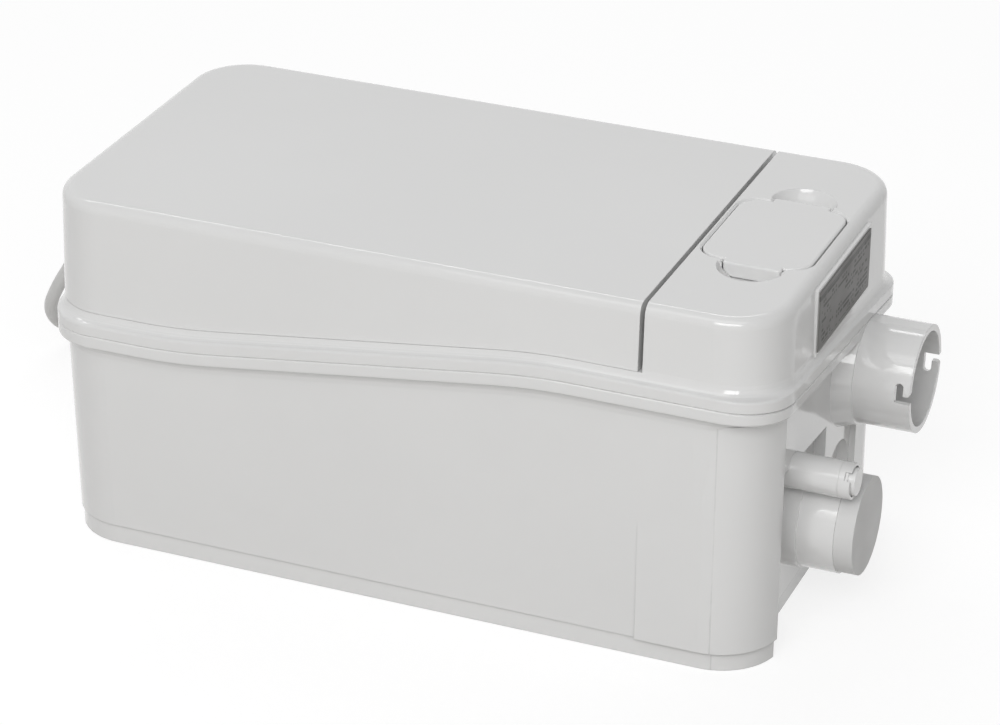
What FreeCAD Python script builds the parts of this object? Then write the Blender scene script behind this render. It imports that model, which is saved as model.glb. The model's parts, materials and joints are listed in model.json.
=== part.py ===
import FreeCAD, Part
import math
import os

# A compact sewage lifting unit that stands on the floor: a tank with its pump, under a two-part cover.
# Millimetres. X runs along the unit with the spigots at +X, the long front faces -Y and Z points up.
# The origin is the centre of the base on the floor.

V = FreeCAD.Vector

# Outer shell
rim_length = 300.0
rim_width = 164.5
rim_radius = 21.0
unit_height = 148.0
rim_end = rim_length / 2
flange_height = 5.0
flare_height = 3.6
cover_foot_end = (0.6 - rim_end, rim_end - 2.2)
cover_top_end = (1.0 - rim_end, rim_end - 2.9)
cover_foot_half_width = rim_width / 2 - 3.65
cover_top_half_width = rim_width / 2 - 4.85
cover_radius = 23.5
cover_top_fillet = 4.5
cover_wall = 2.6
tank_top_end = (0.7 - rim_end, rim_end - 7.5)
tank_base_end = (1.4 - rim_end, rim_end - 8.0)
tank_top_half_width = rim_width / 2 - 3.85
tank_base_half_width = rim_width / 2 - 6.35
tank_radius = 25.0
tank_wall = 2.8
tank_floor = 3.5
foot_height = 8.0
foot_inset = 0.9
column_end = rim_end - 3.5
column_back = 26.25 - rim_width / 2
rear_column_end = rim_end - 5.4
rear_column_front = rim_width / 2 - 41.25
side_room = 9.9
far = 400.0

# The line where tank and lid meet rises along the front and falls away towards the back
parting_left = 93.5
parting_front = 113.2
parting_back = 98.0
rise_start = -92.0
rise_end = 55.0
rise_bend = 16.0

# Lid
seat_gap = 0.4
skirt_wall = 2.4
deck_top = 83.0
deck_thickness = 3.0
raised_start = rim_end - 52.6
groove_width = 1.8
bulkhead = 2.4
lip_gap = 0.3
seam = 0.1
lip_wall = 1.8
lip_height = 6.0
right_skirt_foot = 96.5

# Hatch
hatch_end = (rim_end - 51.1, rim_end - 7.6)
hatch_half_width = 28.2
hatch_radius = 9.0
hatch_thickness = 3.0
hatch_gap = 0.4
hatch_edge = 0.8
hatch_ledge = 4.0
hatch_skirt_depth = 7.0
hatch_seal_thickness = 1.6
tab_reach = hatch_half_width + 2.8
tab_half_length = 11.4
tab_radius = 1.5
tab_thickness = 5.6
scoop_x = rim_end - 28.2
scoop_radius = 13.0
scoop_rise = 7.0
scoop_depth = 6.0

# Rating plate
plate_half_width = 31.0
plate_foot = 117.8
plate_height = unit_height - 5.8 - plate_foot
plate_thickness = 0.5
plate_pad_rise = 0.8
plate_border = 1.6

# Spigots on the end wall, each given by its centre and outside radius
discharge_y = 34.5
discharge_z = 81.2
discharge_radius = 21.5
discharge_wall = 2.6
discharge_end = rim_end + 23.0
discharge_collar_end = rim_end
discharge_collar_step = 0.7
arch_y = discharge_y - 8.5
arch_radius = 14.0
arch_foot = 37.0
elbow_end = discharge_end - 27.0
slot_width = 3.2
slot_length = 6.0
slot_hook = 5.0
slot_lip = 1.3
inlet_y = -17.6
inlet_z = 42.0
inlet_radius = 20.0
inlet_wall = 2.6
inlet_root_end = rim_end - 4.0
inlet_root_step = 0.7
inlet_main_end = rim_end + 10.6
inlet_cap_radius = 19.3
inlet_cap_end = inlet_main_end + 7.4
recess_depth = 4.4
recess_wall = 2.0
recess_drop = 38.0
recess_front = inlet_y - 26.4
recess_end = tank_base_end[1] - recess_depth
web_front = inlet_y + 25.6
web_foot = 24.0
drain_y = -32.5
drain_z = 68.2
drain_radius = 7.1
drain_bore = 5.2
drain_end = rim_end + 11.5
drain_notch = 3.4
drain_seal_place = drain_end - 10.4
fit_gap = 0.1

# Motor and pump on one upright shaft
pump_x = -72.0
pump_y = 0.0
shaft_radius = 5.0
shaft_foot = 16.0
well_radius = 51.5
well_wall = 2.6
well_floor_top = 50.0
well_floor = 4.0
can_radius = 46.0
can_wall = 2.5
can_base = 9.0
can_top = unit_height - 22.0
cap_thickness = 11.0
bearing_outer = 13.0
bearing_height = 8.0
running_gap = 0.05
stator_inner = 25.6
stator_foot = 72.0
stator_height = can_top - stator_foot - 14.0
winding_height = 8.0
rotor_radius = 25.0
volute_radius = 42.0
volute_wall = 3.0
volute_foot = 15.0
eye_radius = 15.0
impeller_radius = 31.0
impeller_foot = 22.0
impeller_height = 14.0
impeller_vanes = 5
pipe_y = 34.5
pipe_z = 32.0
pipe_radius = 12.0
pipe_bore = 9.6

# Check valve in the lower pipe run
valve_start = 28.0
valve_length = 44.0
valve_radius = 20.0
valve_bore = 17.0
valve_wall_plate = 3.0
flap_thickness = 2.0
flap_radius = 12.4
pin_radius = 1.5

# Level control
tube_x = 52.0
tube_y = -36.0
tube_radius = 9.0
tube_wall = 1.6
tube_foot = 14.0
switch_radius = 22.0
switch_height = 18.0
plunger_radius = 2.0
plunger_travel = 1.5

# Electric parts on the deck
board_x = (-6.0, 78.0)
board_y = (12.0, tank_base_half_width - side_room)
board_height = 9.0
board_thickness = 1.6
capacitor_radius = 15.0
capacitor_length = 58.0

# Power cord
cord_radius = 2.9
cord_floor = 3.0
gland_y = 42.0
gland_z = 112.0
gland_block_half = 13.0
coil_step = 6.3
coil_outer = 38.0
coil_half_turns = 4
coil_entry_x = 74.0 - rim_end
coil_entry_y = rim_width / 2 + 37.75
plug_radius = 19.0
plug_height = 20.0
plug_stem = 24.0


# Basic shapes

def box(x0, x1, y0, y1, z0, z1):
    return Part.makeBox(x1 - x0, y1 - y0, z1 - z0, V(x0, y0, z0))


def rod(radius, start, length, axis=V(0, 0, 1)):
    return Part.makeCylinder(radius, length, start, axis)


def ring(outer, inner, start, length, axis=V(0, 0, 1)):
    return rod(outer, start, length, axis).cut(rod(inner, start, length, axis))


def outline(ends, half_width, radius, z):
    x0, x1 = ends
    y0, y1 = -half_width, half_width
    r = radius
    q = r * (1 - math.sqrt(0.5))
    corners = [
        (V(x1 - r, y0, z), V(x1 - q, y0 + q, z), V(x1, y0 + r, z)),
        (V(x1, y1 - r, z), V(x1 - q, y1 - q, z), V(x1 - r, y1, z)),
        (V(x0 + r, y1, z), V(x0 + q, y1 - q, z), V(x0, y1 - r, z)),
        (V(x0, y0 + r, z), V(x0 + q, y0 + q, z), V(x0 + r, y0, z)),
    ]
    edges = []
    for k, (start, middle, end) in enumerate(corners):
        edges.append(Part.Arc(start, middle, end).toShape())
        edges.append(Part.makeLine(end, corners[(k + 1) % 4][0]))
    return Part.Wire(edges)


def prism(ends, half_width, radius, z0, z1):
    face = Part.Face(outline(ends, half_width, radius, z0))
    return face.extrude(V(0, 0, z1 - z0))


def tapered(foot, top):
    return Part.makeLoft([outline(*foot), outline(*top)], True, True)


def inset(ends, by):
    return (ends[0] + by, ends[1] - by)


def joined(shapes):
    return shapes[0].multiFuse(shapes[1:]).removeSplitter()


def save(name, shape):
    solids = shape.Solids
    kept = solids[0] if len(solids) == 1 else Part.makeCompound(solids)
    if not kept.isValid():
        print("not valid:", name)
    kept.exportStep("parts/" + name + ".step")
    print(name, len(solids), round(kept.Volume, 1))


# The parting surface between tank and lid

def right_level(y):
    fall = (parting_front - parting_back) / rim_width
    return (parting_front + parting_back) / 2 - fall * y


def seam_line(y, x0, x1, shift):
    # The seam seen from the front at this depth: level, a gentle rise, level again
    high = right_level(y) + shift
    low = parting_left + shift
    step = (high - low) / (rise_end - rise_start) * rise_bend
    stops = [V(rise_start - rise_bend, y, low), V(rise_start + rise_bend, y, low + step),
             V(rise_end - rise_bend, y, high - step), V(rise_end + rise_bend, y, high)]
    bends = []
    for first, middle, last in ((stops[0], V(rise_start, y, low), stops[1]),
                                (stops[2], V(rise_end, y, high), stops[3])):
        curve = Part.BezierCurve()
        curve.setPoles([first, middle, last])
        bends.append(curve.toShape())
    return [Part.makeLine(V(x0, y, low), stops[0]), bends[0], Part.makeLine(stops[1], stops[2]),
            bends[1], Part.makeLine(stops[3], V(x1, y, high))]


def below(shift):
    # Everything under the parting surface, raised by the shift
    wires = []
    for y in (-far, far):
        foot = -20.0
        edges = seam_line(y, -far, far, shift)
        edges.append(Part.makeLine(V(far, y, right_level(y) + shift), V(far, y, foot)))
        edges.append(Part.makeLine(V(far, y, foot), V(-far, y, foot)))
        edges.append(Part.makeLine(V(-far, y, foot), V(-far, y, parting_left + shift)))
        wires.append(Part.Wire(edges))
    return Part.makeLoft(wires, True, True)


def band(low, high):
    return below(high).cut(below(low))


parting = below(0.0)
flange_top = below(flange_height)


# The outer skin, drawn as outlines that follow the seam between flat ones at the base and the top

rim_outline = ((-rim_length / 2, rim_length / 2), rim_width / 2, rim_radius)
cover_outline = (cover_foot_end, cover_foot_half_width, cover_radius)
cover_top_outline = (cover_top_end, cover_top_half_width, cover_radius)
tank_outline = (tank_top_end, tank_top_half_width, tank_radius)
tank_base_outline = (tank_base_end, tank_base_half_width, tank_radius)


def seam_height(x, y):
    return right_level(y) if x > 0 else parting_left


def skin_corner(centre, radius, start_angle, height):
    points = []
    for k in range(9):
        angle = math.radians(start_angle + 90.0 * k / 8)
        x = centre.x + radius * math.cos(angle)
        y = centre.y + radius * math.sin(angle)
        points.append(V(x, y, height(x, y)))
    curve = Part.BSplineCurve()
    curve.interpolate(points)
    return curve.toShape()


def skin_side(y, x0, x1, shift, level):
    if level is None:
        return seam_line(y, x0, x1, shift)
    stops = [x0, rise_start - rise_bend, rise_start + rise_bend,
             rise_end - rise_bend, rise_end + rise_bend, x1]
    return [Part.makeLine(V(a, y, level), V(b, y, level)) for a, b in zip(stops, stops[1:])]


def skin_outline(shape, shift, level=None):
    # One closed outline: at a shift from the seam, or flat at a level
    (x0, x1), half, r = shape

    def height(x, y):
        return seam_height(x, y) + shift if level is None else level

    def upright_line(x, y_from, y_to):
        return Part.makeLine(V(x, y_from, height(x, y_from)), V(x, y_to, height(x, y_to)))

    edges = skin_side(-half, x0 + r, x1 - r, shift, level)
    edges.append(skin_corner(V(x1 - r, -half + r, 0), r, -90.0, height))
    edges.append(upright_line(x1, -half + r, half - r))
    edges.append(skin_corner(V(x1 - r, half - r, 0), r, 0.0, height))
    edges += reversed(skin_side(half, x0 + r, x1 - r, shift, level))
    edges.append(skin_corner(V(x0 + r, half - r, 0), r, 90.0, height))
    edges.append(upright_line(x0, half - r, -half + r))
    edges.append(skin_corner(V(x0 + r, -half + r, 0), r, 180.0, height))
    return Part.Wire(Part.__sortEdges__(edges))


def between(wall, rim, share):
    ends = tuple(a + (b - a) * share for a, b in zip(wall[0], rim[0]))
    return ends, wall[1] + (rim[1] - wall[1]) * share, wall[2] + (rim[2] - wall[2]) * share


# Height above or below the seam, and the share of the way out from the wall to the rim
seam_share = 0.88
lid_flare = [(0.5, 1.0), (4.2, 1.0), (4.8, 0.95), (5.1, 0.83), (5.4, 0.62), (5.8, 0.43), (6.6, 0.24),
             (7.9, 0.09), (9.6, 0.0)]
tank_flare = [(-0.5, 1.0), (-4.2, 1.0), (-4.8, 0.95), (-5.1, 0.80), (-5.4, 0.58), (-5.9, 0.38), (-6.8, 0.2),
              (-8.0, 0.08), (-10.0, 0.0)]


def lid_skin():
    wires = [skin_outline(between(cover_outline, rim_outline, seam_share), 0.0, 70.0),
             skin_outline(between(cover_outline, rim_outline, seam_share), 0.0)]
    wires += [skin_outline(between(cover_outline, rim_outline, share), rise) for rise, share in lid_flare]
    wires.append(skin_outline(cover_top_outline, 0.0, unit_height))
    shape = Part.makeLoft(wires, True, True)
    edges = [e for e in shape.Edges if e.BoundBox.ZMin > unit_height - 0.01]
    return shape.makeFillet(cover_top_fillet, edges)


def tank_skin():
    wires = [skin_outline(between(tank_outline, rim_outline, seam_share), 0.0, parting_front + 17.0),
             skin_outline(between(tank_outline, rim_outline, seam_share), 0.0)]
    wires += [skin_outline(between(tank_outline, rim_outline, share), rise) for rise, share in tank_flare]
    wires.append(skin_outline(tank_base_outline, 0.0, foot_height))
    return Part.makeLoft(wires, True, True)


# Shared outlines inside the shells

def tank_size_at(z):
    share = z / 110.0
    x0 = tank_base_end[0] + (tank_top_end[0] - tank_base_end[0]) * share
    x1 = tank_base_end[1] + (tank_top_end[1] - tank_base_end[1]) * share
    return (x0, x1), tank_base_half_width + (tank_top_half_width - tank_base_half_width) * share


def tank_block(by, z0, z1):
    foot_ends, foot_half = tank_size_at(z0)
    top_ends, top_half = tank_size_at(z1)
    radius = tank_radius - by
    foot = (inset(foot_ends, by), foot_half - by, radius, z0)
    top = (inset(top_ends, by), top_half - by, radius, z1)
    return tapered(foot, top)


def cover_block(by, top_drop, fillet):
    top_z = unit_height - top_drop
    radius = cover_radius - by
    foot = (inset(cover_foot_end, by), cover_foot_half_width - by, radius, 80.0)
    top = (inset(cover_top_end, by), cover_top_half_width - by, radius, top_z)
    shape = tapered(foot, top)
    edges = [e for e in shape.Edges if e.BoundBox.ZMin > top_z - 0.01]
    return shape.makeFillet(fillet, edges)


cover_outer = lid_skin()
cover_inner = cover_block(cover_wall, cover_wall, cover_top_fillet - 2.5)
tank_inner = tank_block(tank_wall, tank_floor, parting_front + 17.0)
skirt_ends, skirt_half = tank_size_at(80.0)
skirt_inset = tank_wall + seat_gap
skirt_outer = prism(inset(skirt_ends, skirt_inset), skirt_half - skirt_inset,
                    tank_radius - skirt_inset, deck_top - deck_thickness, far)
skirt_in = skirt_inset + skirt_wall
skirt_inner = prism(inset(skirt_ends, skirt_in), skirt_half - skirt_in,
                    tank_radius - skirt_in, 60.0, far)


# Tank

boss_places = [(x, y) for x in (-118.0, 10.0, 84.0)
               for y in (side_room - tank_base_half_width, tank_base_half_width - side_room)]
boss_radius = 4.5
screw_radius = 1.9
foot_pad_places = [(x, y) for x in (-122.0, 116.0)
                    for y in (14.0 + side_room - tank_base_half_width,
                              tank_base_half_width - side_room - 14.0)]
pad_radius = 9.0
pad_depth = 2.5
gasket_edge = 0.3
gasket_width = 1.4
gasket_depth = 1.4


def x_rod(radius, y, z, x0, x1):
    return rod(radius, V(x0, y, z), x1 - x0, V(1, 0, 0))


def bayonet_slots():
    # Two slots run in from the open end and hook round, one on the front side and one behind
    slots = []
    low = discharge_radius - 6
    high = discharge_radius + 3
    depth = discharge_end - slot_length
    for turn in (90.0, 270.0):
        entry = box(depth, discharge_end + 1, -slot_width / 2, slot_width / 2, low, high)
        corners = [V(depth, 0, low), V(depth + slot_width, 0, low),
                   V(depth + slot_width, 0, high), V(depth, 0, high)]
        face = Part.Face(Part.makePolygon(corners + corners[:1]))
        hook = face.revolve(V(0, 0, 0), V(1, 0, 0), -math.degrees(slot_hook / discharge_radius))
        tip = rod(slot_width / 2, V(depth + slot_width / 2, 0, low), high - low)
        tip.rotate(V(0, 0, 0), V(1, 0, 0), -math.degrees(slot_hook / discharge_radius))
        mouth = box(discharge_end - slot_lip, discharge_end + 1, 0, slot_width / 2 + slot_lip, low, high)
        lip = rod(slot_lip, V(discharge_end - slot_lip, slot_width / 2 + slot_lip, low), high - low)
        slot = entry.fuse(hook).fuse(tip).fuse(mouth.cut(lip))
        slot.rotate(V(0, 0, 0), V(1, 0, 0), turn)
        slot.translate(V(0, discharge_y, discharge_z))
        slots.append(slot)
    return slots


def end_recess():
    # The sunken part of the end wall round the inlet, and the arch that it forms under the discharge
    main = box(recess_end, far, recess_front, web_front, 0.0, far).common(below(-recess_drop))
    low = box(recess_end, far, recess_front, rear_column_front, 0.0, web_foot)
    arch = x_rod(arch_radius, arch_y, arch_foot, recess_end, far)
    under = box(recess_end, far, arch_y - arch_radius, arch_y + arch_radius, web_foot - 1.0, arch_foot)
    foot = box(recess_end - foot_inset, far, recess_front, rear_column_front, -1.0, foot_height)
    return joined([main, low, arch, under, foot])


def tank_room():
    # The space inside the tank, held back where the end wall is sunken
    face = recess_end - recess_wall
    back = rear_column_front + recess_wall
    step = box(face, far, recess_front - recess_wall, back, 0.0, far)
    step = step.common(below(recess_wall - recess_drop))
    return tank_inner.cut(step)


def tank_spigots():
    wall = recess_end - 1.0
    collar = discharge_radius + discharge_collar_step
    nose_start = tank_base_end[1] - 1.5
    nose = Part.makeCone(collar + 3.0, collar, discharge_collar_end - nose_start,
                         V(nose_start, discharge_y, discharge_z), V(1, 0, 0))
    discharge = x_rod(discharge_radius, discharge_y, discharge_z, wall, discharge_end)
    inlet = x_rod(inlet_radius, inlet_y, inlet_z, wall, inlet_main_end)
    inlet_root = x_rod(inlet_radius + inlet_root_step, inlet_y, inlet_z, wall, inlet_root_end)
    drain = x_rod(drain_radius, drain_y, drain_z, wall, drain_end)
    return [nose, discharge, inlet, inlet_root, drain]


def tank_bores():
    inside = tank_base_end[1] - tank_wall - 4
    cuts = [
        x_rod(discharge_radius - discharge_wall, discharge_y, discharge_z, elbow_end, discharge_end + 1),
        x_rod(pipe_radius + fit_gap, discharge_y, discharge_z, inside, elbow_end + 1),
        x_rod(inlet_radius - inlet_wall, inlet_y, inlet_z, inside, inlet_main_end + 1),
        x_rod(drain_bore, drain_y, drain_z, inside, drain_end + 1),
    ]
    return cuts + bayonet_slots()


def gasket_ring(low, high):
    outer_by = gasket_edge
    inner_by = gasket_edge + gasket_width
    outer = prism(inset(skirt_ends, outer_by), skirt_half - outer_by, tank_radius - outer_by, 0.0, far)
    inner = prism(inset(skirt_ends, inner_by), skirt_half - inner_by, tank_radius - inner_by, 0.0, far)
    return outer.cut(inner).common(band(low, high))


def build_tank():
    foot = prism(inset(tank_size_at(0)[0], foot_inset), tank_size_at(0)[1] - foot_inset,
                 tank_radius - foot_inset, 0.0, foot_height)
    wall = tank_skin().common(parting)
    column_space = box(column_end - 2 * tank_radius, far, -far, column_back, 0.0, parting_front - 9.0)
    column = prism((0.0, column_end), tank_size_at(60)[1], tank_radius, foot_height, far)
    column = column.common(column_space)
    foot_column = prism((0.0, column_end - foot_inset), tank_size_at(0)[1] - foot_inset,
                        tank_radius - foot_inset, 0.0, foot_height)
    foot_column = foot_column.common(column_space)
    rear_space = box(column_end - 2 * tank_radius, far, rear_column_front, far, 0.0, parting_back - 9.0)
    rear_column = prism((0.0, rear_column_end), tank_size_at(60)[1], tank_radius, foot_height, far)
    rear_column = rear_column.common(rear_space)
    body = joined([wall, foot, column, foot_column, rear_column]).cut(end_recess())
    body = joined([body] + tank_spigots()).cut(tank_room()).common(parting)
    bosses = []
    for x, y in boss_places:
        post = rod(boss_radius, V(x, y, tank_floor - 1), deck_top - deck_thickness - tank_floor + 1)
        bosses.append(post)
    elbow_seat = ring(pipe_radius + 3.0, pipe_radius + fit_gap,
                      V(tank_base_end[1] - 8.0, discharge_y, discharge_z), 8.0, V(1, 0, 0))
    body = joined([body, elbow_seat] + bosses)
    cuts = tank_bores()
    cuts += [rod(screw_radius, V(x, y, 40.0), 60.0) for x, y in boss_places]
    cuts += [rod(pad_radius + fit_gap, V(x, y, -1.0), pad_depth + 1.0) for x, y in foot_pad_places]
    cuts.append(gasket_ring(-gasket_depth, 1.0))
    return body.cut(Part.makeCompound(cuts))


# Lid

def slab(z0, z1):
    return box(-far, far, -far, far, z0, z1)


def hatch_opening(by):
    return prism(inset(hatch_end, by), hatch_half_width - by, hatch_radius - min(by, 5.0),
                 unit_height - 28.0, unit_height + 12.0)


def tab_opening(by):
    ends = (scoop_x - tab_half_length + by, scoop_x + tab_half_length - by)
    return prism(ends, tab_reach - by, tab_radius, unit_height - 28.0, unit_height + 12.0)


def flare(ends, half_width, radius):
    # Widens an opening towards the top, so that its edge is a slope
    high = hatch_edge + 0.5
    return tapered((ends, half_width, radius, unit_height - hatch_edge),
                   (inset(ends, -high), half_width + high, radius + high, unit_height + 0.5))


def hatch_cuts():
    tabs = tab_opening(-hatch_gap).cut(hatch_opening(0.0))
    tab_ends = (scoop_x - tab_half_length - hatch_gap, scoop_x + tab_half_length + hatch_gap)
    return [
        hatch_opening(hatch_ledge),
        hatch_opening(0.0).common(slab(unit_height - hatch_thickness - hatch_seal_thickness, far)),
        tabs.common(slab(unit_height - tab_thickness - hatch_gap, far)),
        flare(hatch_end, hatch_half_width, hatch_radius),
        flare(tab_ends, tab_reach + hatch_gap, tab_radius),
    ]


def scoops():
    # Bowls beside the two tabs of the hatch, where a finger gets at its edge
    cuts = []
    radius = math.hypot(scoop_radius, scoop_rise)
    for side in (-1, 1):
        edge = side * tab_reach
        ball = Part.makeSphere(radius, V(scoop_x, edge, unit_height + scoop_rise))
        space = box(-far, far, min(edge, side * far), max(edge, side * far),
                    unit_height - scoop_depth, unit_height + 9.0)
        cuts.append(ball.common(space))
    return cuts


def build_lid():
    motor_side = box(-far, raised_start, -far, far, 0.0, far)
    chamber = box(raised_start + bulkhead, far, -far, far, 0.0, far)
    block = cover_outer.cut(parting)
    block = block.cut(motor_side.cut(below(flange_height + flare_height)))
    block = block.cut(skirt_inner.common(motor_side))
    block = block.cut(cover_inner.cut(flange_top).common(chamber))
    block = block.cut(skirt_inner.common(chamber).common(flange_top))
    skirt = skirt_outer.cut(skirt_inner).common(below(flange_height - 1.0))
    skirt = skirt.cut(box(raised_start + bulkhead, far, -far, far, 60.0, right_skirt_foot))
    lip_outer = cover_block(cover_wall + lip_gap, cover_wall, 1.0)
    lip_inner = cover_block(cover_wall + lip_gap + lip_wall, cover_wall, 1.0)
    lip = lip_outer.cut(lip_inner).common(band(1.0, flange_height + flare_height + lip_height))
    lip = lip.common(box(-far, raised_start - 6.0, -far, far, 0.0, far))
    wall = skirt_outer.common(below(2.0)).common(
        box(raised_start, raised_start + bulkhead, -far, far, deck_top - deck_thickness, far))
    deck = skirt_outer.common(box(-far, raised_start + bulkhead, -far, far,
                                  deck_top - deck_thickness, deck_top))
    well = rod(well_radius + well_wall, V(pump_x, pump_y, well_floor_top - well_floor),
               deck_top - well_floor_top + well_floor)
    hub = rod(bearing_outer + 4.0, V(pump_x, pump_y, well_floor_top - well_floor - 5.0), 6.0)
    ledge = hatch_opening(-2.0).common(slab(unit_height - 9.0, unit_height - 1.0)).common(cover_outer)
    pad = box(cover_foot_end[1] - 2.8, cover_foot_end[1] + plate_pad_rise,
              -plate_half_width - plate_border, plate_half_width + plate_border,
              plate_foot - plate_border, plate_foot + plate_height + plate_border)
    scoop_span = (tab_reach - 3.0, tab_reach + 15.0)
    scoop_walls = [box(scoop_x - 15, scoop_x + 15, low, high, unit_height - 9.0, unit_height - 1.0)
                   for low, high in (scoop_span, (-scoop_span[1], -scoop_span[0]))]
    gland_wall = box(cover_foot_end[0] + 0.2, cover_foot_end[0] + 5.0, gland_y - gland_block_half,
                     gland_y + gland_block_half, parting_left, gland_z + gland_block_half)
    body = block
    for piece in [skirt, lip, wall, deck, well, hub, ledge, pad, gland_wall] + scoop_walls:
        body = body.fuse(piece)
    body = body.removeSplitter()
    cuts = [
        rod(well_radius, V(pump_x, pump_y, well_floor_top), 120.0),
        rod(bearing_outer, V(pump_x, pump_y, 43.5), 20.0),
        rod(bearing_outer - 3.0, V(pump_x, pump_y, 30.0), 20.0),
        x_rod(pipe_radius + 5.0, discharge_y, discharge_z, tank_base_end[1] - 22.0, tank_base_end[1] - 1.0),
        rod(tube_radius + fit_gap, V(tube_x, tube_y, 60.0), 40.0),
        x_rod(8.1, gland_y, gland_z, cover_foot_end[0] - 3.0, cover_foot_end[0] + 9.4),
    ]
    cuts += hatch_cuts() + scoops()
    cuts += [rod(screw_radius + 0.4, V(x, y, 70.0), 20.0) for x, y in boss_places]
    cuts += [rod(1.5, V(x, y, 47.0), 5.0) for x, y in motor_screw_places]
    cuts += [rod(1.7, V(x, y, 44.0), 5.0) for x, y in volute_screw_places]
    cuts.append(rod(4.9, V(vent_x, vent_y, 70.0), 20.0))
    return body.cut(Part.makeCompound(cuts))


def build_motor_cover():
    end = raised_start - groove_width
    side = box(-far, end, -far, far, 0.0, far)
    seat = below(flange_height + flare_height + seam)
    shell = cover_outer.cut(cover_inner)
    end_wall = cover_outer.common(box(end - cover_wall, end, -far, far, 0.0, far))
    body = joined([shell.common(side), end_wall]).cut(seat)
    reach = gland_block_half + seat_gap
    return body.cut(box(-far, cover_foot_end[0] + 9.4, gland_y - reach, gland_y + reach,
                        0.0, gland_z + reach))


def build_hatch():
    top = unit_height
    plate = hatch_opening(hatch_gap).common(slab(top - hatch_thickness, top))
    tabs = tab_opening(0.0).common(slab(top - hatch_thickness, top))
    lips = tab_opening(0.0).cut(hatch_opening(-hatch_gap)).common(slab(top - tab_thickness, top))
    low = top - hatch_thickness - hatch_skirt_depth
    rim = hatch_opening(hatch_ledge + hatch_gap).cut(hatch_opening(hatch_ledge + hatch_gap + 2.0))
    rim = rim.common(slab(low, top - 1.0))
    body = joined([plate, rim, tabs, lips])
    edges = [e for e in body.Edges if min(v.Z for v in e.Vertexes) > top - 0.01]
    return body.makeFillet(hatch_edge, edges)


def build_hatch_seal():
    level = unit_height - hatch_thickness - hatch_seal_thickness
    shape = hatch_opening(0.5).cut(hatch_opening(hatch_ledge - 0.2))
    return shape.common(slab(level, level + hatch_seal_thickness))


def build_rating_plate():
    face = cover_foot_end[1] + plate_pad_rise
    return box(face, face + plate_thickness, -plate_half_width, plate_half_width,
               plate_foot, plate_foot + plate_height)


# Closed ends of the two lower spigots

def build_inlet_blank():
    bore = inlet_radius - inlet_wall
    cap = x_rod(inlet_cap_radius, inlet_y, inlet_z, inlet_main_end, inlet_cap_end)
    stub = x_rod(bore - fit_gap, inlet_y, inlet_z, inlet_main_end - 14.0, inlet_main_end + 1.0)
    hollow = x_rod(bore - 3.6, inlet_y, inlet_z, inlet_main_end - 15.0, inlet_main_end + 3.0)
    groove = x_rod(bore + 1.0, inlet_y, inlet_z, seal_place - 1.3, seal_place + 1.3)
    groove = groove.cut(x_rod(bore - 1.6, inlet_y, inlet_z, seal_place - 2.0, seal_place + 2.0))
    return joined([cap, stub]).cut(hollow).cut(groove)


seal_place = inlet_main_end - 6.0


def build_inlet_seal():
    bore = inlet_radius - inlet_wall
    outer = x_rod(bore, inlet_y, inlet_z, seal_place - 1.2, seal_place + 1.2)
    return outer.cut(x_rod(bore - 1.6, inlet_y, inlet_z, seal_place - 2.0, seal_place + 2.0))


def build_drain_plug():
    # A stopper with a collar as wide as the spigot, a raised disc in it and one bayonet notch
    bore = drain_bore - fit_gap
    stem = x_rod(bore, drain_y, drain_z, tank_base_end[1] + 4.0, drain_end + 2.0)
    collar = x_rod(drain_radius, drain_y, drain_z, drain_end, drain_end + 4.8)
    recess = x_rod(drain_radius - 1.1, drain_y, drain_z, drain_end + 3.4, drain_end + 6.0)
    disc = x_rod(drain_radius - 1.7, drain_y, drain_z, drain_end + 1.0, drain_end + 6.2)
    notch = box(drain_end + 2.4, drain_end + 6.0, -drain_notch / 2, drain_notch / 2, drain_radius - 1.4,
                drain_radius + 1.0)
    notch.rotate(V(0, 0, 0), V(1, 0, 0), 52.0)
    notch.translate(V(0, drain_y, drain_z))
    groove = x_rod(drain_bore + 1, drain_y, drain_z, drain_seal_place - 1.1, drain_seal_place + 1.1)
    groove = groove.cut(x_rod(drain_bore - 1.3, drain_y, drain_z,
                              drain_seal_place - 2.0, drain_seal_place + 2.0))
    return joined([stem, collar.cut(recess), disc]).cut(notch).cut(groove)


def build_drain_seal():
    outer = x_rod(drain_bore - running_gap, drain_y, drain_z, drain_seal_place - 1.0, drain_seal_place + 1.0)
    return outer.cut(x_rod(drain_bore - 1.3, drain_y, drain_z,
                           drain_seal_place - 2.0, drain_seal_place + 2.0))


# Motor

def upright(radius, z0, z1):
    return rod(radius, V(pump_x, pump_y, z0), z1 - z0)


def around_pump(radius, angle):
    turn = math.radians(angle)
    return pump_x + radius * math.cos(turn), pump_y + radius * math.sin(turn)


shield_flange = 4.0
shield_top = well_floor_top + can_base
motor_screw_places = [around_pump(48.6, 45.0 + 90.0 * k) for k in range(4)]
volute_screw_places = [around_pump(46.0, 100.0 + 120.0 * k) for k in range(3)]


def build_motor_housing():
    shield = upright(can_radius, well_floor_top, shield_top)
    flange = upright(well_radius - fit_gap, well_floor_top, well_floor_top + shield_flange)
    wall = upright(can_radius, shield_top - 1.0, can_top)
    wall = wall.cut(upright(can_radius - can_wall, shield_top, can_top + 1))
    body = joined([shield, flange, wall])
    body = body.cut(upright(bearing_outer, shield_top - bearing_height, shield_top + 1.0))
    body = body.cut(upright(shaft_radius + 3.0, well_floor_top - 1.0, shield_top))
    holes = [rod(1.6, V(x, y, 40.0), 30.0) for x, y in motor_screw_places]
    return body.cut(Part.makeCompound(holes))


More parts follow.
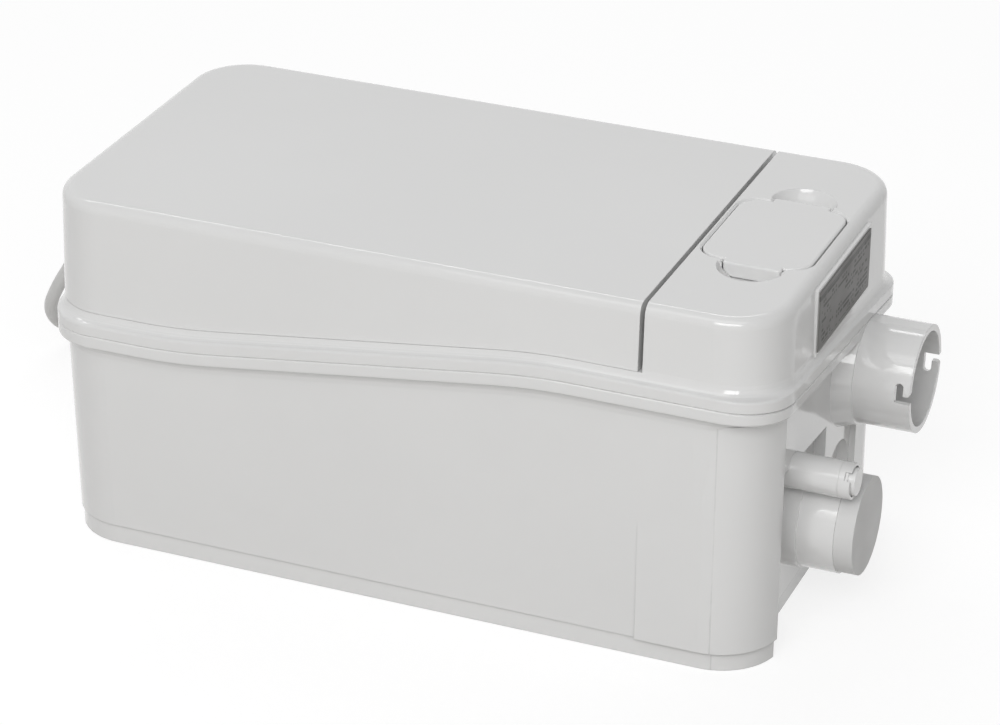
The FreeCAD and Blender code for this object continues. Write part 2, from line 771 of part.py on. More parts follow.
def build_motor_cap():
    cap = upright(can_radius, can_top, can_top + cap_thickness)
    cap = cap.cut(upright(bearing_outer, can_top - 1.0, can_top + bearing_height))
    cap = cap.cut(upright(shaft_radius + 1.5, can_top, can_top + cap_thickness - 1.5))
    rib_cut = upright(can_radius - 3.0, can_top + 4.0, can_top + cap_thickness + 1.0)
    rib_cut = rib_cut.cut(upright(bearing_outer + 3.0, can_top, can_top + cap_thickness + 2.0))
    return cap.cut(rib_cut)


def build_stator():
    body = upright(can_radius - can_wall, stator_foot, stator_foot + stator_height)
    return body.cut(upright(stator_inner, stator_foot - 1.0, stator_foot + stator_height + 1.0))


def build_windings():
    foot = ring(stator_inner + 15.0, stator_inner + 2.4, V(pump_x, pump_y, stator_foot - winding_height),
                winding_height)
    top = ring(stator_inner + 15.0, stator_inner + 2.4, V(pump_x, pump_y, stator_foot + stator_height),
               winding_height)
    return Part.makeCompound([foot, top])


def build_rotor():
    foot = stator_foot - 2.0
    return upright(rotor_radius, foot, foot + stator_height + 4.0).cut(upright(shaft_radius, 0.0, far))


def build_shaft():
    return upright(shaft_radius, shaft_foot, can_top + bearing_height + 1.0)


def build_bearing(z):
    race = upright(bearing_outer, z, z + bearing_height)
    return race.cut(upright(shaft_radius + running_gap, z - 1, z + 20))


def build_shaft_seal():
    foot = well_floor_top - well_floor - 2.5
    return upright(bearing_outer, foot, well_floor_top).cut(upright(shaft_radius + running_gap, 30.0, 60.0))


def screws(places, head, shank, seat, tip, head_height=2.4, up=True):
    solids = []
    for x, y in places:
        if up:
            cap = rod(head, V(x, y, seat), head_height)
            cap = cap.cut(box(x - head, x + head, y - 0.5, y + 0.5, seat + head_height - 1.0, seat + 9.0))
            body = rod(shank, V(x, y, tip), seat - tip + 0.5)
        else:
            cap = rod(head, V(x, y, seat - head_height), head_height)
            cap = cap.cut(box(x - head, x + head, y - 0.5, y + 0.5, seat - 9.0, seat - head_height + 1.0))
            body = rod(shank, V(x, y, seat - 0.5), tip - seat + 0.5)
        solids.append(cap.fuse(body).removeSplitter())
    return Part.makeCompound(solids)


# Pump

def build_volute():
    under = well_floor_top - well_floor
    shell = upright(volute_radius, volute_foot, under)
    outlet = x_rod(pipe_bore - fit_gap, pipe_y, pipe_z, pump_x, pipe_start + 12.0)
    outlet_root = x_rod(pipe_bore + 1.5, pipe_y, pipe_z, pump_x, pipe_start - 2.0)
    ears = [rod(5.0, V(x, y, under - 8.0), 8.0) for x, y in volute_screw_places]
    body = joined([shell, outlet, outlet_root] + ears)
    cuts = [
        upright(volute_radius - volute_wall, volute_foot + volute_wall, under + 1.0),
        upright(eye_radius, 0.0, 40.0),
        x_rod(pipe_bore - 2.2, pipe_y, pipe_z, pump_x + 14.0, pipe_start + 20.0),
    ]
    cuts += [rod(1.8, V(x, y, 30.0), 30.0) for x, y in volute_screw_places]
    return body.cut(Part.makeCompound(cuts))


pipe_start = -34.0


def impeller_vane(angle):
    reach = impeller_radius - 0.5
    bend = 22.0
    arc = Part.makeCylinder(bend + 1.0, impeller_height - 2.0, V(0, 0, 0)).cut(
        Part.makeCylinder(bend - 1.0, impeller_height - 2.0, V(0, 0, 0)))
    arc.translate(V(8.0, bend, 0))
    arc = arc.common(box(0.0, 60.0, -60.0, bend, 0.0, 40.0))
    arc = arc.common(Part.makeCylinder(reach, 40.0))
    arc.rotate(V(0, 0, 0), V(0, 0, 1), angle)
    arc.translate(V(pump_x, pump_y, impeller_foot))
    return arc


def build_impeller():
    top = impeller_foot + impeller_height
    hub = upright(9.5, impeller_foot, top)
    shroud = upright(impeller_radius, top - 3.0, top)
    vanes = [impeller_vane(360.0 / impeller_vanes * k) for k in range(impeller_vanes)]
    return joined([hub, shroud] + vanes).cut(upright(shaft_radius, 0.0, 60.0))


def build_impeller_nut():
    corners = [V(pump_x + 8.0 * math.cos(math.radians(60 * k)),
                 pump_y + 8.0 * math.sin(math.radians(60 * k)),
                 impeller_foot - 5.0) for k in range(6)]
    nut = Part.Face(Part.makePolygon(corners + corners[:1])).extrude(V(0, 0, 5.0))
    return nut.cut(upright(shaft_radius, 0.0, 60.0))


def build_strainer():
    wall = upright(eye_radius + 5.0, tank_floor, volute_foot).cut(upright(eye_radius + 3.2, 0.0, 40.0))
    slots = []
    for k in range(8):
        slot = box(-40.0, 40.0, -2.2, 2.2, tank_floor + 2.0, volute_foot - 3.0)
        slot.rotate(V(0, 0, 0), V(0, 0, 1), 22.5 * k)
        slot.translate(V(pump_x, pump_y, 0))
        slots.append(slot)
    return wall.cut(Part.makeCompound(slots))


# Delivery line

def build_delivery_hose():
    outer = x_rod(pipe_radius, pipe_y, pipe_z, pipe_start, valve_start + 6.0)
    return outer.cut(x_rod(pipe_bore, pipe_y, pipe_z, pipe_start - 1.0, valve_start + 7.0))


valve_seat = valve_start + 6.0 + valve_wall_plate
hinge_x = valve_seat + 3.5
hinge_z = pipe_z + 12.5


def build_valve_body():
    x0 = valve_start + 6.0
    x1 = valve_start + valve_length - 6.0
    shell = x_rod(valve_radius, pipe_y, pipe_z, x0, x1)
    shell = shell.cut(x_rod(valve_bore, pipe_y, pipe_z, x0 + valve_wall_plate, x1 - valve_wall_plate))
    spigot = x_rod(pipe_bore - fit_gap, pipe_y, pipe_z, x0 - 12.0, x0 + 1.0)
    spigot = spigot.fuse(x_rod(pipe_bore - fit_gap, pipe_y, pipe_z, x1 - 1.0, x1 + 12.0))
    lugs = [box(valve_seat - 1.0, hinge_x + 3.0, pipe_y + a, pipe_y + a + 2.6, hinge_z - 3.0, hinge_z + 2.6)
            for a in (-8.4, 5.8)]
    body = joined([shell, spigot] + lugs)
    body = body.cut(x_rod(pipe_bore - 2.2, pipe_y, pipe_z, x0 - 20.0, x0 + 10.0))
    body = body.cut(x_rod(pipe_bore - 2.2, pipe_y, pipe_z, x1 - 10.0, x1 + 20.0))
    return body.cut(rod(pin_radius, V(hinge_x, pipe_y - 8.4, hinge_z), 16.8, V(0, 1, 0)))


def build_valve_pin():
    return rod(pin_radius, V(hinge_x, pipe_y - 8.4, hinge_z), 16.8, V(0, 1, 0))


def build_valve_flap():
    face = valve_seat + 0.3
    disc = x_rod(flap_radius, pipe_y, pipe_z, face, face + flap_thickness)
    for low, high in ((-flap_radius, -5.2), (5.2, flap_radius)):
        disc = disc.cut(box(face - 1.0, face + 5.0, pipe_y + low, pipe_y + high,
                            pipe_z + 8.3, hinge_z + 5.0))
    arm = box(face, hinge_x, pipe_y - 5.0, pipe_y + 5.0, pipe_z + 8.0, hinge_z)
    eye = rod(3.0, V(hinge_x, pipe_y - 5.0, hinge_z), 10.0, V(0, 1, 0))
    body = joined([disc, arm, eye])
    return body.cut(rod(pin_radius + running_gap, V(hinge_x, pipe_y - 9, hinge_z), 18.0, V(0, 1, 0)))


def pipe_along(points, radii, outer, inner):
    edges = []
    start = points[0]
    for k in range(1, len(points) - 1):
        before = (points[k] - points[k - 1]).normalize()
        after = (points[k + 1] - points[k]).normalize()
        turn = before.getAngle(after)
        reach = radii[k - 1] * math.tan(turn / 2)
        first = points[k] - before * reach
        last = points[k] + after * reach
        inward = (after - before).normalize()
        middle = points[k] + inward * (radii[k - 1] / math.cos(turn / 2) - radii[k - 1])
        edges.append(Part.makeLine(start, first))
        edges.append(Part.Arc(first, middle, last).toShape())
        start = last
    edges.append(Part.makeLine(start, points[-1]))
    path = Part.Wire(edges)
    direction = (points[1] - points[0]).normalize()
    solids = []
    for radius in (outer, inner):
        if radius > 0:
            circle = Part.Wire(Part.makeCircle(radius, points[0], direction))
            solids.append(path.makePipeShell([circle], True, False))
    return solids[0] if inner <= 0 else solids[0].cut(solids[1])


riser_x = 114.0
riser_bend = 20.0


def build_riser_pipe():
    points = [V(valve_start + valve_length - 6.0, pipe_y, pipe_z), V(riser_x, pipe_y, pipe_z),
              V(riser_x, pipe_y, discharge_z), V(elbow_end, pipe_y, discharge_z)]
    return pipe_along(points, [riser_bend, riser_bend], pipe_radius, pipe_bore)


def build_hose_clips():
    places = [pipe_start + 3.0, valve_start - 4.5, valve_start + valve_length - 3.5]
    return Part.makeCompound([ring(pipe_radius + 1.4, pipe_radius, V(x, pipe_y, pipe_z), 7.0, V(1, 0, 0))
                              for x in places])


# Level control

def at_tube(radius, z0, z1):
    return rod(radius, V(tube_x, tube_y, z0), z1 - z0)


switch_foot = deck_top + 6.0
switch_top = switch_foot + switch_height


def build_level_tube():
    bell = at_tube(tube_radius + 5.0, tube_foot, tube_foot + 20.0)
    stem = at_tube(tube_radius, tube_foot + 10.0, switch_foot)
    collar = at_tube(tube_radius + 3.0, deck_top - deck_thickness - 3.0, deck_top - deck_thickness)
    body = joined([bell, stem, collar])
    body = body.cut(at_tube(tube_radius + 5.0 - tube_wall, tube_foot - 1.0, tube_foot + 18.0))
    return body.cut(at_tube(tube_radius - tube_wall, tube_foot, switch_foot + 1.0))


def build_level_switch():
    foot = at_tube(tube_radius + 3.0, deck_top, switch_foot + 1.0)
    foot = foot.cut(at_tube(tube_radius + 0.05, 80.0, switch_foot))
    can = at_tube(switch_radius, switch_foot, switch_top)
    body = joined([can, foot])
    body = body.cut(at_tube(switch_radius - 2.5, switch_foot + 3.0, switch_top - 2.5))
    body = body.cut(at_tube(tube_radius - tube_wall, 80.0, switch_foot + 5.0))
    body = body.cut(at_tube(plunger_radius + running_gap, switch_top - 4.0, switch_top + 1.0))
    posts = [box(tube_x + a, tube_x + a + 3.0, tube_y - 3.0, tube_y + 3.0,
                 switch_top - 0.5, switch_top + 6.0)
             for a in (-13.0, 10.0)]
    return joined([body] + posts)


diaphragm_z = switch_foot + 7.0


def build_diaphragm():
    return at_tube(switch_radius - 2.5, diaphragm_z, diaphragm_z + 1.2)


def build_plunger():
    head = at_tube(8.0, diaphragm_z + 1.5, diaphragm_z + 3.0)
    stem = at_tube(plunger_radius, diaphragm_z + 1.5, switch_top + 4.0)
    return joined([head, stem])


def build_micro_switch():
    foot = switch_top + 6.0
    body = box(tube_x - 14.0, tube_x + 14.0, tube_y - 5.0, tube_y + 5.0, foot, foot + 12.0)
    tags = [box(tube_x + a, tube_x + a + 4.0, tube_y - 0.4, tube_y + 0.4, foot + 11.0, foot + 17.0)
            for a in (-12.0, -2.0, 8.0)]
    return joined([body] + tags)


# Electric parts

board_foot = deck_top + board_height
board_face = board_foot + board_thickness
pillar_places = [(x, y) for x in (board_x[0] + 5.0, board_x[1] - 5.0)
                 for y in (board_y[0] + 5.0, board_y[1] - 5.0)]


def build_board():
    return box(board_x[0], board_x[1], board_y[0], board_y[1], board_foot, board_face)


def build_board_pillars():
    return Part.makeCompound([rod(3.2, V(x, y, deck_top), board_height) for x, y in pillar_places])


def build_relay():
    return box(44.0, 72.0, 24.0, 37.0, board_face, board_face + 15.0)


def build_terminal_block():
    body = box(2.0, 34.0, 44.0, 58.0, board_face, board_face + 12.0)
    for k in range(5):
        x = 5.2 + 6.4 * k
        body = body.cut(rod(2.2, V(x, 51.0, board_face + 5.0), 10.0))
        body = body.cut(box(x - 2.0, x + 2.0, 43.0, 47.0, board_face + 2.0, board_face + 6.0))
    return body


capacitor_x = 8.0
capacitor_y = 15.9 - tank_base_half_width
capacitor_z = deck_top + capacitor_radius + 1.2


def build_capacitor():
    axis = V(0, 1, 0)
    can = rod(capacitor_radius, V(capacitor_x, capacitor_y, capacitor_z), capacitor_length, axis)
    tags = [box(capacitor_x + a, capacitor_x + a + 5.0, capacitor_y + capacitor_length - 1.0,
                capacitor_y + capacitor_length + 8.0, capacitor_z - 0.4, capacitor_z + 0.4)
            for a in (-9.0, 4.0)]
    return joined([can] + tags)


def build_capacitor_strap():
    start = V(capacitor_x, capacitor_y + 22.0, capacitor_z)
    strap = ring(capacitor_radius + 1.2, capacitor_radius, start, 12.0, V(0, 1, 0))
    return strap


def build_vent_filter():
    can = rod(7.6, V(vent_x, vent_y, deck_top), 22.0)
    stem = rod(4.9, V(vent_x, vent_y, deck_top - deck_thickness), 4.0)
    body = joined([can, stem])
    body = body.cut(rod(6.2, V(vent_x, vent_y, deck_top + 1.6), 18.0))
    holes = [rod(0.9, V(vent_x + 3.6 * math.cos(a), vent_y + 3.6 * math.sin(a), deck_top + 10.0), 20.0)
             for a in [math.radians(60 * k) for k in range(6)]]
    return body.cut(Part.makeCompound(holes)).cut(rod(3.2, V(vent_x, vent_y, 70.0), 15.0))


def build_carbon_core():
    return rod(6.2, V(vent_x, vent_y, deck_top + 1.6), 18.0)


vent_x = 82.0
vent_y = -6.0


# Cord, gland and plug

gland_face = cover_foot_end[0] + 0.2
cord_start = gland_face - 11.0


def build_gland():
    thread = x_rod(8.0, gland_y, gland_z, gland_face - 0.5, gland_face + 10.0)
    collar = x_rod(9.9, gland_y, gland_z, gland_face - 5.0, gland_face)
    return joined([thread, collar]).cut(x_rod(cord_radius + 1.0, gland_y, gland_z, -far, far))


def build_gland_nut():
    start = V(gland_face - 5.0, gland_y, gland_z)
    dome = Part.makeCone(9.8, 6.4, 6.0, start, V(-1, 0, 0))
    return dome.cut(x_rod(cord_radius + 0.6, gland_y, gland_z, gland_face - 9.0, far))


def build_locknut():
    x = gland_face + 4.8
    return x_rod(9.6, gland_y, gland_z, x, x + 4.0).cut(x_rod(8.0, gland_y, gland_z, -far, far))


cord_points = [
    V(cord_start, gland_y, gland_z),
    V(cord_start - 12.2, gland_y, gland_z),
    V(cord_start - 26.2, gland_y + 1.1, gland_z - 6.3),
    V(cord_start - 35.2, gland_y + 1.7, gland_z - 18.6),
    V(cord_start - 37.1, gland_y + 1.9, gland_z - 35.6),
    V(cord_start - 43.1, gland_y + 1.6, gland_z - 53.8),
    V(cord_start - 54.0, gland_y + 5.1, 42.3),
    V(cord_start - 64.5, gland_y + 14.2, 24.6),
    V(cord_start - 66.2, gland_y + 31.4, 8.3),
    V(cord_start - 59.4, gland_y + 48.8, 3.9),
    V(cord_start - 42.8, coil_entry_y - 19.0, cord_floor),
    V(cord_start - 2.8, coil_entry_y - 3.0, cord_floor),
    V(coil_entry_x - 43.0, coil_entry_y, cord_floor),
    V(coil_entry_x, coil_entry_y, cord_floor),
]


def cord_radii():
    radii = []
    for k in range(1, len(cord_points) - 1):
        before = cord_points[k] - cord_points[k - 1]
        after = cord_points[k + 1] - cord_points[k]
        turn = before.getAngle(after)
        radii.append(0.45 * min(before.Length, after.Length) / math.tan(turn / 2))
    return radii


def build_cord():
    radii = cord_radii()
    print("cord bend radii", [round(r, 1) for r in radii])
    shape = pipe_along(cord_points, radii, cord_radius, 0.0)
    length = shape.Volume / (math.pi * cord_radius ** 2)
    print("free cord length", round(length, 1))
    return shape


def half_turn(start, centre, side):
    # A flat half turn about the centre, from the start to the point opposite, bulging to one side
    radius = (start - centre).Length
    end = centre * 2 - start
    middle = centre + V(side * radius, 0, 0)
    return Part.Arc(start, middle, end), end


def tangent_pair(p0, t0, p1, t1):
    # Two arcs that leave p0 along t0 and reach p1 along t1
    gap = p1 - p0
    both = t0 + t1
    a = 2 * (1 - t0.dot(t1))
    b = 2 * gap.dot(both)
    c = -gap.dot(gap)
    d = (-b + math.sqrt(b * b - 4 * a * c)) / (2 * a)
    joint = (p0 + t0 * d + p1 - t1 * d) * 0.5
    arcs = []
    for start, corner, end in ((p0, p0 + t0 * d, joint), (joint, p1 - t1 * d, p1)):
        middle = (start + end) * 0.5
        half = (end - start).Length / 2
        turn = math.acos(min(1.0, half / (corner - start).Length))
        arcs.append(Part.Arc(start, middle + (corner - middle).normalize() * half * math.tan(turn / 2), end))
    return arcs


def coil_curves():
    # In flat half turns to the inside, up one layer in a half turn, and out again
    x = coil_entry_x + 2 * cord_radius
    level = cord_floor
    place = V(x, coil_entry_y, level)
    curves = [Part.LineSegment(V(coil_entry_x, coil_entry_y, level), place)]
    radius = coil_outer
    side = 1
    for k in range(coil_half_turns):
        centre = place + V(0, side * radius, 0)
        arc, place = half_turn(place, centre, side)
        curves.append(arc)
        radius -= coil_step / 2
        side = -side
    centre = place + V(0, side * radius, 0)
    top = level + coil_step
    mid = V(centre.x + side * radius, centre.y, (level + top) / 2)
    end = V(place.x, 2 * centre.y - place.y, top)
    rise = coil_step / (math.pi * radius) * 1.5
    tilt = V(0, side, rise).normalize()
    curves += tangent_pair(place, V(side, 0, 0), mid, tilt)
    curves += tangent_pair(mid, tilt, end, V(-side, 0, 0))
    place = end
    side = -side
    for k in range(coil_half_turns):
        radius += coil_step / 2
        centre = place + V(0, side * radius, 0)
        arc, place = half_turn(place, centre, side)
        curves.append(arc)
        side = -side
    run = V(side * 4 * cord_radius, 0, 0)
    curves.append(Part.LineSegment(place, place + run))
    return curves, place + run, V(side, 0, 0)


def least_self_gap(curves):
    points = []
    travelled = 0.0
    for curve in curves:
        edge = curve.toShape()
        steps = max(2, int(edge.Length / 2.0))
        for point in edge.discretize(steps + 1)[:-1]:
            points.append((travelled, point))
            travelled += edge.Length / steps
    least = 1e9
    for k, (s0, p0) in enumerate(points):
        for s1, p1 in points[k + 1:]:
            if s1 - s0 > 8 * cord_radius:
                least = min(least, (p1 - p0).Length - 2 * cord_radius)
    return least, travelled


def build_coil():
    curves, end, direction = coil_curves()
    path = Part.Wire([c.toShape() for c in curves])
    gap, length = least_self_gap(curves)
    print("coil least gap", round(gap, 2), "length", round(length, 1), "end", end, direction)
    start = V(coil_entry_x, coil_entry_y, cord_floor)
    circle = Part.Wire(Part.makeCircle(cord_radius, start, V(1, 0, 0)))
    return path.makePipeShell([circle], True, False)


def plug_place():
    curves, end, direction = coil_curves()
    return end, direction


def build_plug():
    end, direction = plug_place()
    centre = end + direction * (plug_stem + plug_radius - 4.0)
    body = rod(plug_radius, V(centre.x, centre.y, 0.1), plug_height - 0.1)
    low = [e for e in body.Edges if e.BoundBox.ZMax - e.BoundBox.ZMin < 0.01]
    body = body.makeFillet(2.5, low)
    stem = Part.makeCone(cord_radius + 1.0, cord_radius + 3.6, plug_stem, end, direction)
    holes = [rod(2.4, V(centre.x, centre.y + a, plug_height - 9.0), 20.0) for a in (-9.5, 9.5)]
    return joined([body, stem]).cut(Part.makeCompound(holes))


def build_plug_pins():
    end, direction = plug_place()
    centre = end + direction * (plug_stem + plug_radius - 4.0)
    pins = []
    for a in (-9.5, 9.5):
        pin = rod(2.4, V(centre.x, centre.y + a, plug_height - 9.0), 28.0)
        tip = [e for e in pin.Edges if e.BoundBox.ZMin > plug_height + 18.0]
        pins.append(pin.makeFillet(1.2, tip))
    return Part.makeCompound(pins)


def build_foot_pads():
    return Part.makeCompound([rod(pad_radius, V(x, y, 0.0), pad_depth) for x, y in foot_pad_places])


pieces = {
    "tank": build_tank,
    "lid": build_lid,
    "motor_cover": build_motor_cover,
    "hatch": build_hatch,
    "hatch_seal": build_hatch_seal,
    "rating_plate": build_rating_plate,
    "rim_gasket": lambda: gasket_ring(-gasket_depth, 0.0),
    "lid_screws": lambda: screws(boss_places, 3.6, screw_radius, deck_top, 58.0),
    "inlet_blank": build_inlet_blank,
    "inlet_seal": build_inlet_seal,
    "drain_plug": build_drain_plug,
    "drain_plug_seal": build_drain_seal,
    "motor_housing": build_motor_housing,
    "motor_cap": build_motor_cap,
    "stator": build_stator,
    "stator_windings": build_windings,
    "rotor": build_rotor,
    "motor_shaft": build_shaft,
    "lower_bearing": lambda: build_bearing(shield_top - bearing_height),
    "upper_bearing": lambda: build_bearing(can_top),
    "shaft_seal": build_shaft_seal,
    "motor_screws": lambda: screws(motor_screw_places, 2.3, 1.5, well_floor_top + shield_flange, 47.0),
    "volute": build_volute,
    "volute_screws": lambda: screws(volute_screw_places, 3.4, 1.7, 38.0, 49.0, up=False),
    "impeller": build_impeller,
    "impeller_nut": build_impeller_nut,
    "suction_strainer": build_strainer,
    "delivery_hose": build_delivery_hose,
    "valve_body": build_valve_body,
    "valve_flap": build_valve_flap,
    "valve_pin": build_valve_pin,
    "riser_pipe": build_riser_pipe,
    "hose_clips": build_hose_clips,
    "level_tube": build_level_tube,
    "level_switch": build_level_switch,
    "switch_diaphragm": build_diaphragm,
    "switch_plunger": build_plunger,
    "micro_switch": build_micro_switch,
    "control_board": build_board,
    "board_pillars": build_board_pillars,
    "relay": build_relay,
    "terminal_block": build_terminal_block,
    "capacitor": build_capacitor,
    "capacitor_strap": build_capacitor_strap,
    "vent_filter": build_vent_filter,
    "carbon_core": build_carbon_core,
    "foot_pads": build_foot_pads,
    "cable_gland": build_gland,
    "gland_nut": build_gland_nut,
    "gland_locknut": build_locknut,
    "power_cord": build_cord,
    "cord_coil": build_coil,
    "mains_plug": build_plug,
    "plug_pins": build_plug_pins,
}

os.makedirs("parts", exist_ok=True)
for name, build in pieces.items():
    save(name, build())
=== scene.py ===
import json
import math

import bmesh
import bpy
from mathutils import Matrix, Vector


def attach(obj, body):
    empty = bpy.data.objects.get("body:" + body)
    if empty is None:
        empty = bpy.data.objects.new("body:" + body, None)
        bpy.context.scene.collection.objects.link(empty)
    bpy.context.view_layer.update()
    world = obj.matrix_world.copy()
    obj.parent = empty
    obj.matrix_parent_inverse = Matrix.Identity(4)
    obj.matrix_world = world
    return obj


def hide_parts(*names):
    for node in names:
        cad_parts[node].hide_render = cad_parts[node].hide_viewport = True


# The looks of a floor-standing sewage lifting unit: glossy moulded shells, their fittings, the inner parts
# and the mains cord. Metres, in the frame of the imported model.

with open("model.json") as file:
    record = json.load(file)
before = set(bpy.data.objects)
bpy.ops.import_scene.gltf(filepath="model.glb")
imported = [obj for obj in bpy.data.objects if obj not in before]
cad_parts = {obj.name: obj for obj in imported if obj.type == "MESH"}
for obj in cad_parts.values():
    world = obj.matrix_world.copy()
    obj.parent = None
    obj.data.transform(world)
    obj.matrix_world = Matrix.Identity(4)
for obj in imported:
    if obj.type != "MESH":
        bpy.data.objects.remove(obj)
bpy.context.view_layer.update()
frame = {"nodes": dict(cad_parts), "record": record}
nodes = frame["nodes"]
scene = bpy.context.scene
MM = 0.001


# Shader building

class Tree:
    """A node tree, with short calls for the nodes that are used more than once."""

    def __init__(self, owner, output_kind="ShaderNodeOutputMaterial"):
        owner.use_nodes = True
        self.tree = owner.node_tree
        self.tree.nodes.clear()
        self.output = self.add(output_kind).inputs[0]

    def add(self, kind, **values):
        node = self.tree.nodes.new(kind)
        self.fill(node, values)
        return node

    def fill(self, node, values):
        for name, value in values.items():
            self.put(node.inputs[name.replace("_", " ")], value)

    def put(self, socket, value):
        """Links another node's output, or sets a fixed number, vector or colour."""
        if hasattr(value, "is_output"):
            self.link(value, socket)
        elif socket.type == "RGBA":
            socket.default_value = (*value, 1.0)
        else:
            socket.default_value = value

    def link(self, source, target):
        self.tree.links.new(source, target)

    def math(self, operation, a, b=0.0, c=0.0):
        node = self.add("ShaderNodeMath")
        node.operation = operation
        for socket, value in zip(node.inputs, (a, b, c)):
            self.put(socket, value)
        return node.outputs[0]

    def times(self, product, *factors):
        for factor in factors:
            product = self.math("MULTIPLY", product, factor)
        return product

    def between(self, value, low, high):
        """1 where the value is between low and high, else 0."""
        return self.times(self.math("GREATER_THAN", value, low), self.math("LESS_THAN", value, high))

    def ramp(self, value, low, high, to_low=0.0, to_high=1.0):
        """Goes softly from to_low to to_high while the value goes from low to high."""
        node = self.add("ShaderNodeMapRange", Value=value, From_Min=low, From_Max=high, To_Min=to_low,
                        To_Max=to_high)
        node.interpolation_type = "SMOOTHSTEP"
        return node.outputs["Result"]

    def glow(self, direction, start, amount):
        """Strength that grows towards one direction of the world."""
        facing = self.add("ShaderNodeVectorMath")
        facing.operation = "DOT_PRODUCT"
        self.link(self.add("ShaderNodeTexCoord").outputs["Generated"], facing.inputs[0])
        facing.inputs[1].default_value = direction
        return self.ramp(facing.outputs["Value"], start, 1.0, 0.0, amount)

    def end_by_ray(self, for_matte_light, for_sight):
        """Ends the tree with two shaders: one for matte light, one that the camera and reflections see."""
        path = self.add("ShaderNodeLightPath").outputs
        seen = path["Is Camera Ray"]
        for kind in ("Is Glossy Ray", "Is Transmission Ray"):
            seen = self.math("MAXIMUM", seen, path[kind])
        choose = self.add("ShaderNodeMixShader")
        for socket, source in zip(choose.inputs, (seen, for_matte_light.outputs[0], for_sight.outputs[0])):
            self.link(source, socket)
        self.link(choose.outputs[0], self.output)


class Shader(Tree):
    """A surface whose patterns lie in the object's own coordinates."""

    def __init__(self, name):
        self.material = bpy.data.materials.new(name)
        super().__init__(self.material)
        self.surface = self.add("ShaderNodeBsdfPrincipled")
        self.link(self.surface.outputs[0], self.output)
        self.place = self.add("ShaderNodeTexCoord").outputs["Object"]

    def set(self, **values):
        self.fill(self.surface, values)

    def axes(self):
        node = self.add("ShaderNodeSeparateXYZ")
        self.link(self.place, node.inputs[0])
        return node.outputs

    def mix(self, share, color, other):
        """The first colour where the share is 0, the other where it is 1."""
        node = self.add("ShaderNodeMix")
        node.data_type = "RGBA"
        for index, value in ((0, share), (6, color), (7, other)):
            self.put(node.inputs[index], value)
        return node.outputs[2]

    def noise(self, scale, detail=3.0, rough=0.55, stretch=(1, 1, 1), offset=(0, 0, 0)):
        """Clouds from 0 to 1. scale is about how many fit in a metre, detail is how many finer layers."""
        where = self.add("ShaderNodeMapping", Vector=self.place, Scale=stretch, Location=offset)
        clouds = self.add("ShaderNodeTexNoise", Vector=where.outputs[0], Scale=scale, Detail=detail,
                          Roughness=rough)
        return clouds.outputs[0]

    def cells(self, scale, jitter=1.0):
        """The distance from the middle of the nearest cell."""
        node = self.add("ShaderNodeTexVoronoi", Vector=self.place, Scale=scale, Randomness=jitter)
        return node.outputs["Distance"]

    def patches(self, color, shade, scale=14.0):
        """A colour that is darker by up to the share shade in soft patches."""
        return self.mix(self.noise(scale, 4.0), dimmed(color, 1 - shade), color)

    def stripes(self, value, period):
        """0 to 1 and back once in each period along a coordinate."""
        share = self.math("FRACT", self.math("DIVIDE", value, period))
        return self.math("SUBTRACT", 1.0, self.math("ABSOLUTE", self.math("MULTIPLY_ADD", share, 2.0, -1.0)))

    def bump(self, *layers, edge=0.0):
        """Each layer is a height and how many metres deep it is. edge is how round the corners look."""
        normal = None
        if edge:
            node = self.add("ShaderNodeBevel", Radius=edge)
            node.samples = 6
            normal = node.outputs[0]
        for height, depth in layers:
            node = self.add("ShaderNodeBump", Height=height, Strength=1.0, Distance=depth)
            if normal is not None:
                self.link(normal, node.inputs["Normal"])
            normal = node.outputs[0]
        self.link(normal, self.surface.inputs["Normal"])


def dimmed(color, share):
    return tuple(c * share for c in color)


# Plastics and rubber

WHITE = (0.745, 0.745, 0.742)


def shell_white(name, marks=None):
    """Glossy white moulded plastic: faint waviness, fine orange peel and softly rubbed places."""
    polished, rubbed, scuffed_further = 0.07, 0.15, 0.10
    wave_depth, peel_depth, corner_radius = 0.25 * MM, 0.012 * MM, 0.5 * MM
    s = Shader(name)
    color = s.mix(s.ramp(s.noise(9.0, 3.0), 0.3, 0.7), dimmed(WHITE, 0.982), WHITE)
    gloss = s.ramp(s.noise(17.0, 4.0, offset=(2.0, 8.0, 1.0)), 0.35, 0.75, polished, rubbed)
    scuffs = s.noise(150.0, 2.0, 0.6, stretch=(0.12, 1.0, 1.0), offset=(0.0, 4.0, 9.0))
    rough = s.math("ADD", gloss, s.ramp(scuffs, 0.60, 0.80, 0.0, scuffed_further))
    wave = s.noise(24.0, 1.0, 0.4, offset=(1.0, 1.0, 1.0))
    peel = s.noise(420.0, 2.0, 0.5)
    layers = [(wave, wave_depth), (peel, peel_depth)]
    if marks is not None:
        color, more = marks(s, color)
        layers += more
    s.set(Base_Color=color, Roughness=rough, IOR=1.49, Coat_Weight=0.4, Coat_Roughness=0.04)
    s.bump(*layers, edge=corner_radius)
    return s


